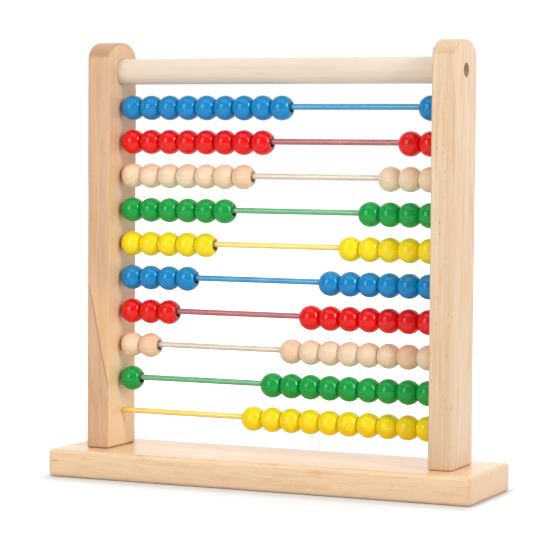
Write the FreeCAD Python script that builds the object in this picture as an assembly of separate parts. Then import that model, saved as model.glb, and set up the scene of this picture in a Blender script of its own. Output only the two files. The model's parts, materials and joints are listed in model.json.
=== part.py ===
"""A counting frame (abacus): two wooden posts on a board, a round top rail, ten rods and a hundred beads.

Millimetres, +Z up. The origin is the middle of the board's underside, X runs along the rods and Y from
front (-Y) to back (+Y). Row 1 is the top row. Every row holds ten beads: those on the left rest by the left
post, those on the right rest by the right post, and the free length of rod is between them. The bead next
to the free length is the lead bead of its side, and the ones behind it are the stack.
"""

import math
import os

import FreeCAD
import Part

# Board
base_length = 306.0
base_depth = 78.0
base_thickness = 19.0
base_edge_round = 2.5
base_end_overhang = 19.75  # from a post's outer face to the board's end

# Posts
overall_height = 297.5
post_width = 16.5  # along the rods
post_depth = 41.0  # front to back
post_top_flat = 6.0  # along Y, between the two curved shoulders
post_top_rise = 12.0  # from where the front face starts to curve to the top
post_edge_round = 1.5

# Rows
row_count = 10
beads_per_row = 10
lowest_row_rise = 25.1  # from the board's top to the lowest rod's axis
rail_drop = 19.8  # from the posts' tops to the rail's axis
top_row_drop = 23.9  # from the rail's axis to the top rod's axis

# Rods
rod_diameter = 4.0
rod_embed = 9.5  # how deep each end goes into its post
rod_hole_clearance = 0.03  # radial

# Beads: a ball with two flats and a bored hole, hanging on a rod that is thinner than the hole
bead_diameter = 17.0
bead_length = 13.85  # between the flats
bead_hole_diameter = 5.6
bead_hole_chamfer = 0.7
bead_flat_round = 0.8
bead_gap = 0.1  # between neighbours that lean on each other
left_end_gap = 1.5  # between the left post and the bead that leans towards it
right_end_gap = 0.4  # the same at the right post
bead_hang_clearance = 0.05  # between the rod's top and the top of the hole

# Top rail
rail_diameter = 17.5
rail_socket_depth = 4.0
rail_socket_clearance = 0.25  # radial

# Wood screws: one through each post into the rail, two through the board into each post
screw_shank_diameter = 4.0
screw_hole_clearance = 0.1  # radial, where the shank passes through
screw_pilot_clearance = 0.02  # radial, where the shank bites
screw_tip_length = 4.0
screw_head_diameter = 8.0
screw_head_height = 2.6
screw_head_round = 0.9
screw_slot_length = 4.6
screw_slot_width = 1.1
screw_slot_depth = 1.3
counterbore_diameter = 9.5
counterbore_overrun = 5.0  # how far its cut runs out past the face
rail_screw_length = 28.0  # under the head
rail_counterbore_depth = 5.0
base_screw_length = 34.0
base_counterbore_depth = 5.0
base_screw_spacing = 22.0  # between a post's two screws, front to back

# What follows from the sizes above
inner_span = base_length - 2 * (base_end_overhang + post_width)
post_inner_face = inner_span / 2
post_centre = post_inner_face + post_width / 2
post_outer_face = post_inner_face + post_width
rail_height = overall_height - rail_drop
top_row_height = rail_height - top_row_drop
lowest_row_height = base_thickness + lowest_row_rise
row_pitch = (top_row_height - lowest_row_height) / (row_count - 1)
bead_pitch = bead_length + bead_gap
bead_hang = (bead_hole_diameter - rod_diameter) / 2 - bead_hang_clearance

X_AXIS = FreeCAD.Vector(1, 0, 0)
Z_AXIS = FreeCAD.Vector(0, 0, 1)


def box(x0, x1, y0, y1, z0, z1):
    """A block between two corners."""
    return Part.makeBox(x1 - x0, y1 - y0, z1 - z0, FreeCAD.Vector(x0, y0, z0))


def cylinder(radius, start, direction, length):
    """A cylinder from a start point, along a direction."""
    return Part.makeCylinder(radius, length, FreeCAD.Vector(*start), direction)


def export(name, solids):
    """Writes one node, which may be several separate solids."""
    shape = solids[0] if len(solids) == 1 else Part.makeCompound(solids)
    assert all(solid.isValid() and solid.Volume > 0 for solid in shape.Solids), name
    shape.exportStep(f"parts/{name}.step")


def row_height(row):
    """The height of a row's rod axis. Row 1 is the top one."""
    return top_row_height - (row - 1) * row_pitch


def placed(shape, x, y, z, turn_axis=Z_AXIS, turn=0.0):
    """A copy of a shape, turned about the origin and then moved."""
    copy = shape.copy()
    copy.Placement = FreeCAD.Placement(FreeCAD.Vector(x, y, z), FreeCAD.Rotation(turn_axis, turn))
    return copy


def wood_screw(length):
    """A pan-head screw standing on its tip side: the head's seat is at the origin and the shank runs up +Z."""
    shank_radius = screw_shank_diameter / 2
    shank = cylinder(shank_radius, (0, 0, 0), Z_AXIS, length - screw_tip_length)
    tip = Part.makeCone(shank_radius, 0.3, screw_tip_length, FreeCAD.Vector(0, 0, length - screw_tip_length))
    head = cylinder(screw_head_diameter / 2, (0, 0, -screw_head_height), Z_AXIS, screw_head_height)
    outer_rim = [edge for edge in head.Edges if edge.Closed and edge.BoundBox.ZMax < -screw_head_height / 2]
    head = head.makeFillet(screw_head_round, outer_rim)
    half_length, half_width = screw_slot_length / 2, screw_slot_width / 2
    slot_bottom = screw_slot_depth - screw_head_height
    cross = box(-half_length, half_length, -half_width, half_width, -screw_head_height - 1, slot_bottom).fuse(
        box(-half_width, half_width, -half_length, half_length, -screw_head_height - 1, slot_bottom)
    )
    return head.fuse([shank, tip]).cut(cross).removeSplitter().Solids[0]


def screw_bore(length, counterbore_depth, through):
    """The hole a wood screw needs, in the screw's own place: its counterbore, clearance hole and pilot hole."""
    shank_radius = screw_shank_diameter / 2
    cut = counterbore_depth + counterbore_overrun
    counterbore = cylinder(counterbore_diameter / 2, (0, 0, -cut), Z_AXIS, cut)
    passage = cylinder(shank_radius + screw_hole_clearance, (0, 0, 0), Z_AXIS, through)
    pilot = cylinder(shank_radius + screw_pilot_clearance, (0, 0, 0), Z_AXIS, length)
    return counterbore.fuse([passage, pilot])


def base_screw_places():
    """Where the heads of the board's screws seat: name, x, y."""
    places = []
    for side, sign in (("left", -1), ("right", 1)):
        for end, y in (("front", -base_screw_spacing / 2), ("back", base_screw_spacing / 2)):
            places.append((f"base_screw_{side}_{end}", sign * post_centre, y))
    return places


base_screw_bore = screw_bore(
    base_screw_length, base_counterbore_depth, base_thickness - base_counterbore_depth
)
rail_screw_bore = screw_bore(
    rail_screw_length, rail_counterbore_depth, post_width - rail_counterbore_depth - rail_socket_depth
)


def rail_screw_placed(shape, sign):
    """Puts a screw-shaped thing where the rail's screw goes, its head outside the left (-1) or right (1) post."""
    seat = sign * (post_outer_face - rail_counterbore_depth)
    return placed(shape, seat, 0, rail_height, FreeCAD.Vector(0, 1, 0), -90 * sign)


def base():
    board = box(-base_length / 2, base_length / 2, -base_depth / 2, base_depth / 2, 0, base_thickness)
    board = board.makeFillet(base_edge_round, board.Edges)
    for _, x, y in base_screw_places():
        board = board.cut(placed(base_screw_bore, x, y, base_counterbore_depth))
    return board


def post_outline(x):
    """A post's side view: straight sides, a narrow flat on top and a quarter ellipse at each shoulder."""
    half_depth, half_flat = post_depth / 2, post_top_flat / 2
    shoulder_height = overall_height - post_top_rise
    corners = [(-half_depth, shoulder_height), (-half_depth, base_thickness)]
    corners += [(half_depth, base_thickness), (half_depth, shoulder_height)]
    points = [FreeCAD.Vector(x, y, z) for y, z in corners]
    edges = [Part.LineSegment(a, b).toShape() for a, b in zip(points, points[1:])]
    for side in (1, -1):
        centre = FreeCAD.Vector(x, side * half_flat, shoulder_height)
        widest = FreeCAD.Vector(x, side * half_depth, shoulder_height)
        highest = FreeCAD.Vector(x, side * half_flat, overall_height)
        edges.append(Part.Arc(Part.Ellipse(widest, highest, centre), 0, math.pi / 2).toShape())
    tops = [FreeCAD.Vector(x, side * half_flat, overall_height) for side in (1, -1)]
    edges.append(Part.LineSegment(*tops).toShape())
    return Part.Wire(Part.__sortEdges__(edges))


def post(sign):
    """The left (-1) or right (1) post, with a rounded top, rod holes and a socket for the rail."""
    outline = post_outline(min(sign * post_inner_face, sign * post_outer_face))
    body = Part.Face(outline).extrude(FreeCAD.Vector(post_width, 0, 0))
    eased = [e for e in body.Edges if e.BoundBox.XLength < 1 or e.BoundBox.ZMax < base_thickness + 1]
    body = body.makeFillet(post_edge_round, eased)
    inward = FreeCAD.Vector(-sign, 0, 0)
    rod_hole_start = sign * (post_inner_face + rod_embed)
    for row in range(1, row_count + 1):
        radius = rod_diameter / 2 + rod_hole_clearance
        body = body.cut(cylinder(radius, (rod_hole_start, 0, row_height(row)), inward, rod_embed + 1))
    socket_start = sign * (post_inner_face + rail_socket_depth)
    socket_radius = rail_diameter / 2 + rail_socket_clearance
    socket = cylinder(socket_radius, (socket_start, 0, rail_height), inward, rail_socket_depth + 1)
    body = body.cut([socket, rail_screw_placed(rail_screw_bore, sign)])
    for _, x, y in base_screw_places():
        if x * sign > 0:
            body = body.cut(placed(base_screw_bore, x, y, base_counterbore_depth))
    return body


def top_rail():
    half_length = post_inner_face + rail_socket_depth
    rail = cylinder(rail_diameter / 2, (-half_length, 0, rail_height), X_AXIS, 2 * half_length)
    return rail.cut([rail_screw_placed(rail_screw_bore, sign) for sign in (-1, 1)])


def rod(row):
    half_length = post_inner_face + rod_embed
    return cylinder(rod_diameter / 2, (-half_length, 0, row_height(row)), X_AXIS, 2 * half_length)


def bead():
    """One bead at the origin with its hole along X, turned from its half section."""
    half, radius = bead_length / 2, bead_diameter / 2
    hole = bead_hole_diameter / 2
    mouth = hole + bead_hole_chamfer
    flat = math.sqrt(radius**2 - half**2)
    line = [
        (-half, flat),
        (-half, mouth),
        (-half + bead_hole_chamfer, hole),
        (half - bead_hole_chamfer, hole),
        (half, mouth),
        (half, flat),
    ]
    points = [FreeCAD.Vector(x, 0, z) for x, z in line]
    edges = [Part.LineSegment(a, b).toShape() for a, b in zip(points, points[1:])]
    edges.append(Part.Arc(points[-1], FreeCAD.Vector(0, 0, radius), points[0]).toShape())
    turned = Part.Face(Part.Wire(edges)).revolve(FreeCAD.Vector(0, 0, 0), X_AXIS, 360)
    rims = [e for e in turned.Edges if e.Closed and abs(e.BoundBox.ZMax - flat) < 1e-3]
    return Part.Solid(turned.makeFillet(bead_flat_round, rims).Shells[0])


def bead_places(row, side):
    """The x of each bead on one side of a row, from the post to the lead bead."""
    count = beads_per_row - row if side == "left" else row
    sign, end_gap = (-1, left_end_gap) if side == "left" else (1, right_end_gap)
    first = post_inner_face - end_gap - bead_length / 2
    return [sign * (first - n * bead_pitch) for n in range(count)]


def export_beads():
    one_bead = bead()
    for row in range(1, row_count + 1):
        height = row_height(row) - bead_hang
        for side in ("left", "right"):
            beads = [placed(one_bead, x, 0, height) for x in bead_places(row, side)]
            if beads:
                export(f"row_{row:02d}_{side}_lead_bead", beads[-1:])
            if len(beads) > 1:
                export(f"row_{row:02d}_{side}_bead_stack", beads[:-1])


def export_all():
    os.makedirs("parts", exist_ok=True)
    export("base", [base()])
    export("left_post", [post(-1)])
    export("right_post", [post(1)])
    export("top_rail", [top_rail()])
    rail_screw = wood_screw(rail_screw_length)
    export("rail_screw_left", [rail_screw_placed(rail_screw, -1)])
    export("rail_screw_right", [rail_screw_placed(rail_screw, 1)])
    base_screw = wood_screw(base_screw_length)
    for name, x, y in base_screw_places():
        export(name, [placed(base_screw, x, y, base_counterbore_depth)])
    for row in range(1, row_count + 1):
        export(f"row_{row:02d}_rod", [rod(row)])
    export_beads()


export_all()
free_travel = inner_span - left_end_gap - right_end_gap - beads_per_row * bead_length - (beads_per_row - 1) * bead_gap
assert free_travel > 0, "the beads fill the rods"
print(f"free travel {free_travel:.3f} mm, row pitch {row_pitch:.3f} mm, bead hang {bead_hang:.3f} mm")
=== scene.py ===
"""Looks for a wooden counting frame: wood grain on the frame, lacquered beads, enamelled rods and studio light."""
import json
import math
import random

import bpy
import numpy as np
from mathutils import Matrix, Vector


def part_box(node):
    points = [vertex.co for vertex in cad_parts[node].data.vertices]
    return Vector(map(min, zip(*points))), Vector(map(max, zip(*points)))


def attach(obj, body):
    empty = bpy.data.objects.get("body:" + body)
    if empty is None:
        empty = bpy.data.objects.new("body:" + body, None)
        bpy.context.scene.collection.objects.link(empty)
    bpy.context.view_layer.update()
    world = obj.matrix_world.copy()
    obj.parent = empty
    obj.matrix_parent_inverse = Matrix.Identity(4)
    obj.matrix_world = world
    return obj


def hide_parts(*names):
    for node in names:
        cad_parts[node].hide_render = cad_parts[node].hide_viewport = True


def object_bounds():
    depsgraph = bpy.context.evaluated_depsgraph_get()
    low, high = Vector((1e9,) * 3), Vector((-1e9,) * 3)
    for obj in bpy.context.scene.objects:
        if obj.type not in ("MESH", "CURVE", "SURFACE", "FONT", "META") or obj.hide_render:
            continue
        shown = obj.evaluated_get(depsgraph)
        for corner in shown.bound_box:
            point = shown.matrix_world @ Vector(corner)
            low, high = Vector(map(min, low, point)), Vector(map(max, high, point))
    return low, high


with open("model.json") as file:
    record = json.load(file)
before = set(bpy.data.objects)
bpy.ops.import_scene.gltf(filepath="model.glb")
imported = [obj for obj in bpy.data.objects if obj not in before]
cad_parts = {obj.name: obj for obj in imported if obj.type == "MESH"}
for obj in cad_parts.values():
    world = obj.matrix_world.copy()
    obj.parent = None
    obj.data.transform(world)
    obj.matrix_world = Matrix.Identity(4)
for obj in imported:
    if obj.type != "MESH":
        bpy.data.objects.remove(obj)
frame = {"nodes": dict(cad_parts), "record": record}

cad_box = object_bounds()
nodes = frame["nodes"]
node_body = {node: body for body, held in frame["record"]["behaviour"]["bodies"].items() for node in held}
MM = 0.001

# Camera, as a photographer would place it: where it looks, from how far, and how it is turned
look_at = Vector((-1.04, 0.0, 141.06)) * MM
camera_distance = 1575.4 * MM
camera_azimuth = math.radians(24.04)
camera_elevation = math.radians(3.29)
camera_roll = math.radians(0.41)
camera_lens = 153.43  # on a 36 mm sensor

# The rail's height, the right post's middle and the left post's inner face, read from the CAD
rail_low, rail_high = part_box("top_rail")
rail_height = (rail_low.z + rail_high.z) / 2
post_low, post_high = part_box("right_post")
post_middle = (post_low.x + post_high.x) / 2
inner_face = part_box("left_post")[1].x

# How far from the rail's axis a post's wood is bored: for the rail, and for the head of its screw
socket_reach = (rail_high.z - rail_low.z) / 2 + 0.30 * MM
counterbore_reach = 4.80 * MM

# Rows, from the top
row_colours = ("blue", "red", "natural", "green", "yellow") * 2

# Linear colours. The tones of a wood are its pale, mid and dark colours
bead_paint = {
    "blue": (0.000, 0.232, 0.545),
    "red": (0.800, 0.003, 0.002),
    "green": (0.000, 0.340, 0.050),
    "yellow": (0.960, 0.730, 0.003),
}
rod_paint = {
    "blue": (0.025, 0.265, 0.500),
    "red": (0.410, 0.112, 0.118),
    "natural": (0.650, 0.550, 0.430),
    "green": (0.118, 0.390, 0.172),
    "yellow": (0.890, 0.650, 0.160),
}
base_tones = (0.865, 0.605, 0.365), (0.820, 0.555, 0.320), (0.635, 0.375, 0.195)
left_post_tones = (0.680, 0.425, 0.250), (0.630, 0.375, 0.208), (0.490, 0.260, 0.130)
right_post_tones = (0.745, 0.560, 0.385), (0.705, 0.490, 0.305), (0.545, 0.320, 0.165)
rail_tones = (0.750, 0.635, 0.510), (0.710, 0.585, 0.455), (0.620, 0.470, 0.335)
bead_tones = (0.835, 0.665, 0.465), (0.805, 0.600, 0.395), (0.700, 0.480, 0.300)
past_seam = (0.76, 0.46, 0.22)
# painted bounce light on the left post's inner face, towards its foot
painted_foot_bounce = (0.96, 0.68, 0.40)
seam_line = (0.40, 0.19, 0.075)
knot_fleck = (0.22, 0.12, 0.06)
# raw wood with painted shade, inside the posts' bores
raw_shaded_bore = (0.520, 0.340, 0.200)
# raw wood with painted shade, inside a natural bead's bore
raw_shaded_bead_bore = (0.300, 0.190, 0.110)
zinc_tones = (0.62, 0.62, 0.60), (0.44, 0.45, 0.46)

# A slanting seam in the left post, as (x, z) near its foot and near its top, and a knot in the base
seam_foot = -117.0 * MM, 62 * MM
seam_top = -128.7 * MM, 117 * MM
knot_place = -148 * MM, -39 * MM, 11.3 * MM
knot_half_size = 3.4 * MM, 3.0 * MM, 0.45 * MM

# How beads differ from one another
bead_seed = 11
bead_turn_tilt = math.radians(0.8)
bead_length_spread = 0.10 * MM
bead_size_spread = 0.006
bead_waviness = 0.045 * MM
bore_ease = 0.10 * MM  # the drawn bore is this much wider than the fitted one, so that a tilted bead clears its rod
bead_segments = 56


# ---------------------------------------------------------------- node helpers


class Shader:
    """A short way to write the nodes of a material or of the world."""

    def __init__(self, holder):
        holder.use_nodes = True
        self.holder = holder
        self.tree = holder.node_tree

    def add(self, kind, **settings):
        node = self.tree.nodes.new(kind)
        for key, value in settings.items():
            setattr(node, key, value)
        return node

    def feed(self, socket, value):
        if isinstance(value, bpy.types.NodeSocket):
            self.tree.links.new(value, socket)
        else:
            socket.default_value = value

    def math(self, operation, a, b=0.0, c=0.0):
        node = self.add("ShaderNodeMath", operation=operation)
        for socket, value in zip(node.inputs, (a, b, c)):
            self.feed(socket, value)
        return node.outputs[0]

    def scaled(self, vector, scale, offset=(0, 0, 0)):
        node = self.add("ShaderNodeMapping")
        self.feed(node.inputs["Vector"], vector)
        self.feed(node.inputs["Location"], offset)
        self.feed(node.inputs["Scale"], scale)
        return node.outputs[0]

    def noise(self, vector, scale=1.0, detail=2.0, roughness=0.5):
        node = self.add("ShaderNodeTexNoise")
        self.feed(node.inputs["Vector"], vector)
        self.feed(node.inputs["Scale"], scale)
        self.feed(node.inputs["Detail"], detail)
        self.feed(node.inputs["Roughness"], roughness)
        return node.outputs["Fac"]

    def ramp(self, value, low, high, to_low=0.0, to_high=1.0):
        node = self.add("ShaderNodeMapRange", interpolation_type="SMOOTHSTEP")
        for socket, number in zip(node.inputs, (value, low, high, to_low, to_high)):
            self.feed(socket, number)
        return node.outputs["Result"]

    def mix(self, factor, a, b, blend="MIX"):
        node = self.add("ShaderNodeMix", data_type="RGBA", blend_type=blend)
        self.feed(node.inputs["Factor"], factor)
        for socket, value in zip([s for s in node.inputs if s.type == "RGBA"], (a, b)):
            self.feed(socket, (*value, 1.0) if isinstance(value, tuple) and len(value) == 3 else value)
        return next(s for s in node.outputs if s.type == "RGBA")

    def split(self, vector):
        node = self.add("ShaderNodeSeparateXYZ")
        self.feed(node.inputs[0], vector)
        return node.outputs

    def bump(self, height, distance, strength):
        node = self.add("ShaderNodeBump")
        self.feed(node.inputs["Height"], height)
        self.feed(node.inputs["Distance"], distance)
        self.feed(node.inputs["Strength"], strength)
        return node.outputs[0]

    def finish(self, **sockets):
        """Feed the material's main shader, and give back the material."""
        principled = self.tree.nodes["Principled BSDF"]
        for name, value in sockets.items():
            self.feed(principled.inputs[name.replace("_", " ")], value)
        return self.holder


def material_shader(name):
    return Shader(bpy.data.materials.new(name))


def object_place(shader):
    return shader.add("ShaderNodeTexCoord").outputs["Object"]


def from_centre(s, a, b):
    """How far the point (a, b) is from (0, 0)."""
    return s.math("SQRT", s.math("ADD", s.math("MULTIPLY", a, a), s.math("MULTIPLY", b, b)))


# ---------------------------------------------------------------- wood


def wood_colour(s, grain, tones, pith, ring_width=3.4 * MM, rings=0.14, streaks=1.0, pores=1.0, run=1.0):
    """Colour, fibre height and pore mask of wood whose grain runs along the third axis of the vector grain, in metres.

    tones are (pale, mid, dark) colours. pith is where the tree's centre lies across the grain, in metres. A larger
    run makes the streaks shorter.
    """
    pale, mid, dark = tones
    drift = s.scaled(grain, (12.0, 12.0, 2.2))
    wander = s.math("MULTIPLY", s.math("SUBTRACT", s.noise(drift, 1.0, 3.0), 0.5), 22.0 * MM)
    across = s.split(grain)
    from_pith = from_centre(s, s.math("SUBTRACT", across[0], pith[0]), s.math("SUBTRACT", across[1], pith[1]))
    ring = s.math("FRACT", s.math("DIVIDE", s.math("ADD", from_pith, wander), ring_width))
    late_wood = s.math("MULTIPLY", s.ramp(ring, 0.25, 0.85), s.math("SUBTRACT", 1.0, s.ramp(ring, 0.88, 1.0)))
    broad = s.noise(s.scaled(grain, (75.0, 75.0, 5.0)), 1.0, 3.0, 0.55)
    streak = s.noise(s.scaled(grain, (420.0, 420.0, 13.0 * run)), 1.0, 3.0, 0.55)
    warm = s.noise(s.scaled(grain, (230.0, 230.0, 24.0 * run), (3.7, 1.9, 0.6)), 1.0, 3.0, 0.6)
    fibre = s.noise(s.scaled(grain, (1300.0, 1300.0, 45.0)), 1.0, 3.0, 0.6)

    cells = s.add("ShaderNodeTexVoronoi", feature="F1")
    s.feed(cells.inputs["Vector"], s.scaled(grain, (1150.0, 1150.0, 210.0)))
    s.feed(cells.inputs["Scale"], 1.0)
    chosen = s.ramp(s.split(cells.outputs["Color"])[0], 0.90, 0.93)
    pore = s.math("MULTIPLY", s.math("SUBTRACT", 1.0, s.ramp(cells.outputs["Distance"], 0.14, 0.34)), chosen)

    orange = tuple(c * f for c, f in zip(mid, (0.98, 0.86, 0.70)))
    colour = s.mix(s.ramp(broad, 0.32, 0.70), pale, mid)
    colour = s.mix(s.math("MULTIPLY", late_wood, rings), colour, dark)
    colour = s.mix(s.math("MULTIPLY", s.ramp(warm, 0.52, 0.72), 0.65 * streaks), colour, orange)
    colour = s.mix(s.math("MULTIPLY", s.ramp(streak, 0.50, 0.78), 0.36 * streaks), colour, dark)
    colour = s.mix(s.math("MULTIPLY", s.ramp(fibre, 0.40, 0.75), 0.16 * streaks), colour, dark)
    colour = s.mix(s.math("MULTIPLY", pore, 0.38 * pores), colour, tuple(0.45 * c for c in dark))
    return colour, fibre, pore


def along_z(s, axis, offset):
    """The object's own coordinates with the grain's axis turned onto the third, moved to another part of the log."""
    x, y, z = s.split(object_place(s))
    ordered = {"X": (y, z, x), "Z": (x, y, z)}[axis]
    joined = s.add("ShaderNodeCombineXYZ")
    for socket, value in zip(joined.inputs, ordered):
        s.feed(socket, value)
    return s.scaled(joined.outputs[0], (1, 1, 1), offset)


def with_seam_and_painted_bounce(s, colour, grain):
    """A dark slanting line with warmer wood past it, and painted bounce light that makes the inner face paler towards
    the foot.
    """
    (low_x, low_z), (high_x, high_z) = seam_foot, seam_top
    x, _, z = s.split(object_place(s))
    unsteady = s.math("SUBTRACT", s.noise(s.scaled(grain, (40, 40, 30)), 1.0, 2.0), 0.5)
    waver = s.math("MULTIPLY", unsteady, 3.0 * MM)
    slope = (high_x - low_x) / (high_z - low_z)
    line = s.math("MULTIPLY_ADD", s.math("SUBTRACT", z, low_z), slope, low_x)
    past = s.math("SUBTRACT", s.math("ADD", x, waver), line)
    inward = s.math("GREATER_THAN", x, inner_face - 0.3 * MM)
    below = s.math("SUBTRACT", 1.0, s.ramp(z, high_z, high_z + 25 * MM))
    fade = s.math("MULTIPLY", below, s.math("SUBTRACT", 1.0, inward))
    side = s.math("MULTIPLY", s.ramp(past, -0.5 * MM, 1.5 * MM, 0.0, 0.62), fade)
    colour = s.mix(side, colour, past_seam)
    # painted bounce light from the base: the inner face is lighter towards the foot
    pale = s.math("MULTIPLY", inward, s.ramp(z, 50 * MM, 260 * MM, 0.70, 0.25))
    colour = s.mix(pale, colour, painted_foot_bounce)
    edge = s.math("SUBTRACT", 1.0, s.ramp(s.math("ABSOLUTE", past), 0.15 * MM, 0.95 * MM))
    return s.mix(s.math("MULTIPLY", s.math("MULTIPLY", edge, 0.75), fade), colour, seam_line)


def with_knot(s, colour):
    """A short dark fleck."""
    squares = [
        s.math("POWER", s.math("DIVIDE", s.math("SUBTRACT", here, middle), half), 2.0)
        for here, middle, half in zip(s.split(object_place(s)), knot_place, knot_half_size)
    ]
    near = s.math("ADD", s.math("ADD", squares[0], squares[1]), squares[2])
    return s.mix(s.ramp(near, 0.4, 1.1, 0.60, 0.0), colour, knot_fleck)


def with_raw_shaded_bores(s, colour):
    """Raw wood with painted shade inside the rail's socket and its screw's counterbore, darker than the faces around
    them.
    """
    x, y, z = s.split(object_place(s))
    out = from_centre(s, y, s.math("SUBTRACT", z, rail_height))
    inner = s.math("LESS_THAN", s.math("ABSOLUTE", x), post_middle)
    reach = s.math("ADD", counterbore_reach, s.math("MULTIPLY", inner, socket_reach - counterbore_reach))
    # painted shade with raw wood: darker inside the bores
    return s.mix(s.math("LESS_THAN", out, reach), colour, raw_shaded_bore)


def board_wood(name, axis, tones, pith, offset, marks=(), end_grain=0.0, roughness=0.46, coat=0.25, **look):
    """Sanded and lacquered hardwood whose grain runs along axis.

    marks are what "seam" (with painted bounce light on the inner face), "knot" and "bores" (raw wood with painted
    shade) stand for above. end_grain darkens the faces that cut across the grain.
    look is passed on to wood_colour.
    """
    s = material_shader(name)
    grain = along_z(s, axis, offset)
    colour, fibre, pore = wood_colour(s, grain, tones, pith, **look)
    if "seam" in marks:
        colour = with_seam_and_painted_bounce(s, colour, grain)
    if "knot" in marks:
        colour = with_knot(s, colour)
    if end_grain:
        facing = s.split(s.add("ShaderNodeTexCoord").outputs["Normal"])["XYZ".index(axis)]
        colour = s.mix(s.ramp(s.math("ABSOLUTE", facing), 0.06, 0.40, 0.0, end_grain), colour, tones[2])
    if "bores" in marks:
        colour = with_raw_shaded_bores(s, colour)
    height = s.math("SUBTRACT", s.math("MULTIPLY", fibre, 0.25), pore)
    return s.finish(
        Base_Color=colour,
        Roughness=s.ramp(fibre, 0.2, 0.8, roughness - 0.05, roughness + 0.07),
        Normal=s.bump(height, 0.05 * MM, 0.5),
        Coat_Weight=coat,
        Coat_Roughness=0.25,
    )


# ---------------------------------------------------------------- beads and rods


def bead_coordinates(s):
    """Each bead's own coordinates, turned and moved at random, its random number, and how far inside its bore."""
    names = (("bead_place", "Vector"), ("bead_tone", "Fac"), ("bead_bore", "Fac"))
    return [s.add("ShaderNodeAttribute", attribute_name=name).outputs[kind] for name, kind in names]


def lacquer(colour_name):
    """Thick gloss enamel over wood: an almost even colour, softly uneven where it ran, with a clear wet surface."""
    s = material_shader(f"{colour_name}_bead_enamel")
    place, tone, bore = bead_coordinates(s)
    colour = bead_paint[colour_name]
    deeper = tuple(0.86 * c for c in colour)
    cloud = s.noise(place, 190.0, 2.0)
    patch = s.math("ADD", s.math("MULTIPLY", s.ramp(cloud, 0.35, 0.70), 0.45), s.math("MULTIPLY", tone, 0.35))
    flow = s.noise(place, 220.0, 1.0)
    return s.finish(
        # painted shade: the enamel goes dark inside the bore
        Base_Color=s.mix(bore, s.mix(patch, colour, deeper), tuple(0.16 * c for c in colour)),
        Roughness=s.ramp(cloud, 0.3, 0.7, 0.13, 0.18),
        Normal=s.bump(flow, 0.006 * MM, 0.5),
        Specular_IOR_Level=0.38,
    )


def natural_bead_wood():
    """Clear-coated beads of the frame's own kind of wood, each from another place in the board."""
    s = material_shader("natural_bead_wood")
    place, tone, bore = bead_coordinates(s)
    colour, fibre, pore = wood_colour(s, place, bead_tones, (0.030, 0.012), rings=0.22, streaks=0.8, pores=0.6)
    pink = s.mix(s.ramp(tone, 0.35, 1.0, 0.0, 0.85), colour, s.mix(1.0, colour, (1.0, 0.86, 0.80), "MULTIPLY"))
    height = s.math("SUBTRACT", s.math("MULTIPLY", fibre, 0.25), pore)
    return s.finish(
        # painted shade with raw wood: darker inside the bore
        Base_Color=s.mix(bore, pink, raw_shaded_bead_bore),
        Roughness=s.ramp(fibre, 0.2, 0.8, 0.40, 0.52),
        Normal=s.bump(height, 0.04 * MM, 0.5),
        Coat_Weight=0.10,
        Coat_Roughness=0.25,
    )


def rod_enamel(colour_name):
    """Thin gloss paint over drawn wire: long faint draw marks and a little unevenness."""
    s = material_shader(f"{colour_name}_rod_enamel")
    place = object_place(s)
    drawn = s.noise(s.scaled(place, (35.0, 1600.0, 1600.0)), 1.0, 2.0)
    cloud = s.noise(s.scaled(place, (90.0, 300.0, 300.0)), 1.0, 2.0)
    colour = rod_paint[colour_name]
    worn = tuple(min(1.0, 1.15 * c + 0.03) for c in colour)
    return s.finish(
        Base_Color=s.mix(s.ramp(cloud, 0.35, 0.75, 0.0, 0.6), colour, worn),
        Roughness=s.ramp(drawn, 0.3, 0.7, 0.22, 0.36),
        Normal=s.bump(drawn, 0.03 * MM, 0.35),
        Metallic=0.15,
        Coat_Weight=0.4,
        Coat_Roughness=0.12,
    )


def zinc_steel():
    s = material_shader("zinc_steel")
    place = object_place(s)
    marks = s.noise(s.scaled(place, (2600.0, 2600.0, 2600.0)), 1.0, 3.0)
    cloud = s.noise(place, 500.0, 2.0)
    return s.finish(
        Base_Color=s.mix(s.ramp(cloud, 0.3, 0.7), *zinc_tones),
        Metallic=1.0,
        Roughness=s.ramp(marks, 0.3, 0.7, 0.24, 0.42),
        Normal=s.bump(marks, 0.02 * MM, 0.4),
    )


# ---------------------------------------------------------------- bead meshes


def fitted_bead():
    """The bead's fitted sizes, read from the frame: length, radius, bore radius and the gap between neighbours."""
    low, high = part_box("row_10_right_lead_bead")
    rod_low, rod_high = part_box("row_10_rod")
    stack_low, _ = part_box("row_10_right_bead_stack")
    rod_radius = (rod_high.z - rod_low.z) / 2
    hang = (rod_low.z + rod_high.z) / 2 - (low.z + high.z) / 2
    return high.x - low.x, (high.y - low.y) / 2, hang + rod_radius, stack_low.x - high.x


bead_length, bead_radius, bore_radius, bead_gap = fitted_bead()
mouth_chamfer = 0.7 * MM
flat_round = 0.9 * MM
arc_steps = 5
ball_steps = 12


def bead_profile(length):
    """Half section from the middle of the bore, out round the bead and back: (x, radius) pairs, closed."""
    half = length / 2
    bore = bore_radius + bore_ease
    # a small arc rolls from the flat onto the ball
    centre_x = half - flat_round
    centre_r = math.sqrt((bead_radius - flat_round) ** 2 - centre_x**2)
    start = math.atan2(centre_r, centre_x)
    right = [
        (half - mouth_chamfer, bore),
        (half - 0.35 * mouth_chamfer, bore + 0.28 * mouth_chamfer),
        (half, bore + mouth_chamfer),
    ]
    for n in range(arc_steps + 1):
        a = start * n / arc_steps
        right.append((centre_x + flat_round * math.cos(a), centre_r + flat_round * math.sin(a)))
    for n in range(1, ball_steps + 1):
        a = start + (math.pi / 2 - start) * n / ball_steps
        right.append((bead_radius * math.cos(a), bead_radius * math.sin(a)))
    left = [(-x, r) for x, r in reversed(right[:-1])]
    return right + left + [(0.0, bore)]


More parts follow.
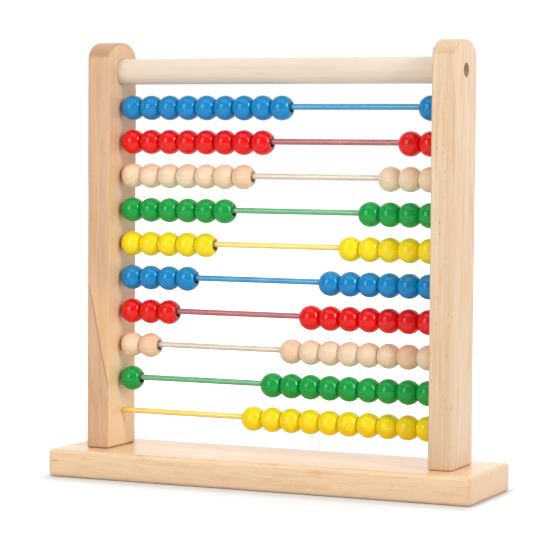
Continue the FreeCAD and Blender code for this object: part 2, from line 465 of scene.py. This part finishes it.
def bead_points(chance):
    """One bead at the origin, a little out of true: its points and the same points in its own piece of wood."""
    length = bead_length - chance.uniform(0.2, 1.0) * bead_length_spread
    profile = np.array(bead_profile(length))
    turns = np.arange(bead_segments) * 2 * math.pi / bead_segments
    x = np.repeat(profile[:, 0], bead_segments)
    r = np.repeat(profile[:, 1], bead_segments)
    a = np.tile(turns, len(profile))
    outer = np.clip((r - bore_radius - bore_ease) / (bead_radius - bore_radius), 0, 1)
    phase = [chance.uniform(0, 2 * math.pi) for _ in range(4)]
    wave = np.cos(2 * a + phase[0]) + 0.6 * np.cos(3 * a + phase[1])
    wave += 0.8 * np.cos(a + phase[2] + 260.0 * x) + 0.5 * np.cos(4 * a + phase[3] - 300.0 * x)
    size = 1 - chance.uniform(0.0, 1.0) * bead_size_spread
    r = r * np.where(outer > 0.25, size, 1.0) + outer * bead_waviness * (wave - 1.6) / 2
    points = np.stack([x, r * np.cos(a), r * np.sin(a)], axis=1)
    axis = Vector((0.0, chance.uniform(-1, 1), chance.uniform(-1, 1)))
    tilt = Matrix.Rotation(chance.uniform(-1, 1) * bead_turn_tilt, 3, axis.normalized())
    points = points @ np.array(tilt).T
    turn = Matrix.Rotation(chance.uniform(0, 2 * math.pi), 3, "X")
    lean = Matrix.Rotation(math.pi / 2 + chance.uniform(-0.35, 0.35), 3, "Y")
    place = points @ np.array(lean @ turn).T
    place += np.array([chance.uniform(-0.05, 0.05), chance.uniform(-0.05, 0.05), chance.uniform(-3, 3)])
    return points, place, np.clip(1.25 - 3.0 * outer, 0, 1), len(profile)


def ring_faces(rings, first):
    """Quads round a closed section: rings times bead_segments points, starting at index first."""
    faces = []
    for n in range(rings):
        here, there = first + n * bead_segments, first + (n + 1) % rings * bead_segments
        for k in range(bead_segments):
            k2 = (k + 1) % bead_segments
            faces.append((here + k, there + k, there + k2, here + k2))
    return faces


def beads_like(node, material, chance):
    """One piece that takes the place of a CAD node of beads, with each bead where the node has it."""
    low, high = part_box(node)
    count = round((high.x - low.x + bead_gap) / (bead_length + bead_gap))
    height = (low.z + high.z) / 2
    points, places, tones, bores, faces = [], [], [], [], []
    for n in range(count):
        centre = low.x + bead_length / 2 + n * (bead_length + bead_gap)
        bead, place, bore, rings = bead_points(chance)
        faces += ring_faces(rings, sum(len(p) for p in points))
        points.append(bead + np.array([centre, 0.0, height]))
        places.append(place)
        tones.append(np.full(len(bead), chance.random()))
        bores.append(bore)
    mesh = bpy.data.meshes.new(f"{node}_lacquered")
    mesh.from_pydata(np.concatenate(points).tolist(), [], faces)
    mesh.polygons.foreach_set("use_smooth", [True] * len(mesh.polygons))
    place = mesh.attributes.new("bead_place", "FLOAT_VECTOR", "POINT")
    place.data.foreach_set("vector", np.concatenate(places).astype(np.float32).ravel())
    for name, values in (("bead_tone", tones), ("bead_bore", bores)):
        shade = mesh.attributes.new(name, "FLOAT", "POINT")
        shade.data.foreach_set("value", np.concatenate(values).astype(np.float32))
    mesh.materials.append(material)
    piece = bpy.data.objects.new(f"{node}_lacquered", mesh)
    bpy.context.scene.collection.objects.link(piece)
    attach(piece, node_body[node])
    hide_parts(node)


def make_beads():
    chance = random.Random(bead_seed)
    finishes = {name: lacquer(name) for name in bead_paint}
    finishes["natural"] = natural_bead_wood()
    for row, colour in enumerate(row_colours, start=1):
        for side in ("left", "right"):
            for kind in ("bead_stack", "lead_bead"):
                node = f"row_{row:02d}_{side}_{kind}"
                if node in nodes:
                    beads_like(node, finishes[colour], chance)


# ---------------------------------------------------------------- CAD nodes


def paint(node, material):
    mesh = nodes[node].data
    mesh.materials.clear()
    mesh.materials.append(material)


def paint_frame():
    base = board_wood(
        "base_wood", "X", base_tones, (0.012, -0.075), (0.30, 0.10, 0.40), ("knot",),
        end_grain=0.55, coat=0.6, streaks=1.3, rings=0.06, run=2.6,
    )
    left = board_wood(
        "left_post_wood", "Z", left_post_tones, (-0.115, -0.060), (0, 0, 0.9), ("seam", "bores"),
        end_grain=0.85, streaks=1.7, rings=0.20,
    )
    right = board_wood(
        "right_post_wood", "Z", right_post_tones, (0.190, -0.095), (0, 0, 2.3), ("bores",),
        end_grain=0.30, streaks=1.5, pores=1.8,
    )
    rail = board_wood(
        "rail_wood", "X", rail_tones, (0.03, 0.24), (0, 0, 3.1),
        roughness=0.62, coat=0.0, streaks=0.45, pores=0.3,
    )
    for node, wood in (("base", base), ("left_post", left), ("right_post", right), ("top_rail", rail)):
        paint(node, wood)
    steel = zinc_steel()
    for node in nodes:
        if "screw" in node:
            paint(node, steel)
    enamel = {name: rod_enamel(name) for name in rod_paint}
    for row, colour in enumerate(row_colours, start=1):
        paint(f"row_{row:02d}_rod", enamel[colour])


# ---------------------------------------------------------------- studio

room_light = 0.30
backdrop_light = 1.25
seen_white = 1.05
table_reach = 9.0
painted_shadow_albedo = 0.60, 0.86  # painted shadow: the table's albedo against the board and away from it
painted_shadow_reach = 5 * MM, 26 * MM  # how far that painted shadow reaches past the board's ends and sides
cool_tint = 0.985, 1.0, 1.025


def direction(azimuth, elevation):
    """From the object towards an azimuth and elevation in degrees. Azimuth 0 is straight in front, 90 is the right."""
    a, e = math.radians(azimuth), math.radians(elevation)
    return Vector((math.sin(a) * math.cos(e), -math.cos(a) * math.cos(e), math.sin(e)))


def softbox(name, azimuth, elevation, distance, width, height, power):
    light = bpy.data.lights.new(name, "AREA")
    light.shape = "RECTANGLE"
    light.size, light.size_y = width, height
    light.energy = power
    lamp = bpy.data.objects.new(name, light)
    towards = direction(azimuth, elevation)
    lamp.location = look_at + towards * distance
    lamp.rotation_euler = towards.to_track_quat("Z", "Y").to_euler()
    bpy.context.scene.collection.objects.link(lamp)


def make_lights():
    softbox("key_softbox", -20, 18, 1.5, 0.56, 0.90, 7.2)
    softbox("right_strip", 71, 27, 1.6, 0.24, 1.00, 12.8)
    softbox("top_softbox", 10, 80, 1.7, 1.8, 1.8, 13.0)


def make_world():
    """White as the camera sees it. As a light it is a bright backdrop behind the frame and a dim room in front."""
    world = bpy.data.worlds.new("studio")
    bpy.context.scene.world = world
    s = Shader(world)
    seen, shed = s.tree.nodes["Background"], s.add("ShaderNodeBackground")
    s.feed(seen.inputs["Color"], (1, 1, 1, 1))
    s.feed(seen.inputs["Strength"], seen_white)
    s.feed(shed.inputs["Color"], (1, 1, 1, 1))
    behind = s.add("ShaderNodeVectorMath", operation="DOT_PRODUCT")
    s.feed(behind.inputs[0], s.add("ShaderNodeTexCoord").outputs["Generated"])
    s.feed(behind.inputs[1], -direction(math.degrees(camera_azimuth), 0))
    s.feed(shed.inputs["Strength"], s.ramp(behind.outputs["Value"], -0.1, 0.65, room_light, backdrop_light))
    mixed = s.add("ShaderNodeMixShader")
    s.feed(mixed.inputs[0], s.add("ShaderNodeLightPath").outputs["Is Camera Ray"])
    s.feed(mixed.inputs[1], shed.outputs[0])
    s.feed(mixed.inputs[2], seen.outputs[0])
    s.feed(s.tree.nodes["World Output"].inputs["Surface"], mixed.outputs[0])


def make_floor():
    """A wide white table with a painted shadow that makes it a little darker close to the board, that glows far off so
    that it stays white.
    """
    mesh = bpy.data.meshes.new("floor")
    corners = [(table_reach * x, table_reach * y, 0) for x, y in ((-1, -1), (1, -1), (1, 1), (-1, 1))]
    mesh.from_pydata(corners, [], [(0, 1, 2, 3)])
    floor = bpy.data.objects.new("floor", mesh)
    bpy.context.scene.collection.objects.link(floor)
    s = material_shader("white_table")
    away = s.add("ShaderNodeVectorMath", operation="LENGTH")
    s.feed(away.inputs[0], object_place(s))
    seen = s.add("ShaderNodeLightPath").outputs["Is Camera Ray"]
    # painted shadow: the table's colour darkens close to the board's footprint
    beyond = [
        s.math("DIVIDE", s.math("MAXIMUM", s.math("SUBTRACT", s.math("ABSOLUTE", here), edge), 0.0), width)
        for here, edge, width in zip(s.split(object_place(s)), cad_box[1], painted_shadow_reach)
    ]
    shade = s.ramp(from_centre(s, *beyond), 0.0, 1.0, *painted_shadow_albedo)
    tint = s.add("ShaderNodeCombineColor")
    for socket, share in zip(tint.inputs, cool_tint):
        s.feed(socket, s.math("MULTIPLY", shade, share))
    glow = s.math("MULTIPLY", s.ramp(away.outputs["Value"], 0.15, 0.6, 0.10, 1.0), seen)
    mesh.materials.append(
        s.finish(
            Base_Color=tint.outputs[0],
            Roughness=0.6,
            Emission_Color=(1, 1, 1, 1),
            Emission_Strength=glow,
        )
    )


def make_camera():
    data = bpy.data.cameras.new("camera")
    data.lens, data.sensor_width = camera_lens, 36.0
    data.clip_start, data.clip_end = 0.05, 50.0
    camera = bpy.data.objects.new("camera", data)
    bpy.context.scene.collection.objects.link(camera)
    back = direction(math.degrees(camera_azimuth), math.degrees(camera_elevation))
    right = Vector((0, 0, 1)).cross(back).normalized()
    up = back.cross(right)
    rolled_right = right * math.cos(camera_roll) + up * math.sin(camera_roll)
    rolled_up = up * math.cos(camera_roll) - right * math.sin(camera_roll)
    turned = Matrix((rolled_right, rolled_up, back)).transposed().to_4x4()
    camera.matrix_world = Matrix.Translation(look_at + back * camera_distance) @ turned
    bpy.context.scene.camera = camera


def set_colour():
    view = bpy.context.scene.view_settings
    view.view_transform = "Standard"
    view.look = "None"


make_camera()
make_world()
make_lights()
make_floor()
make_beads()
paint_frame()
set_colour()
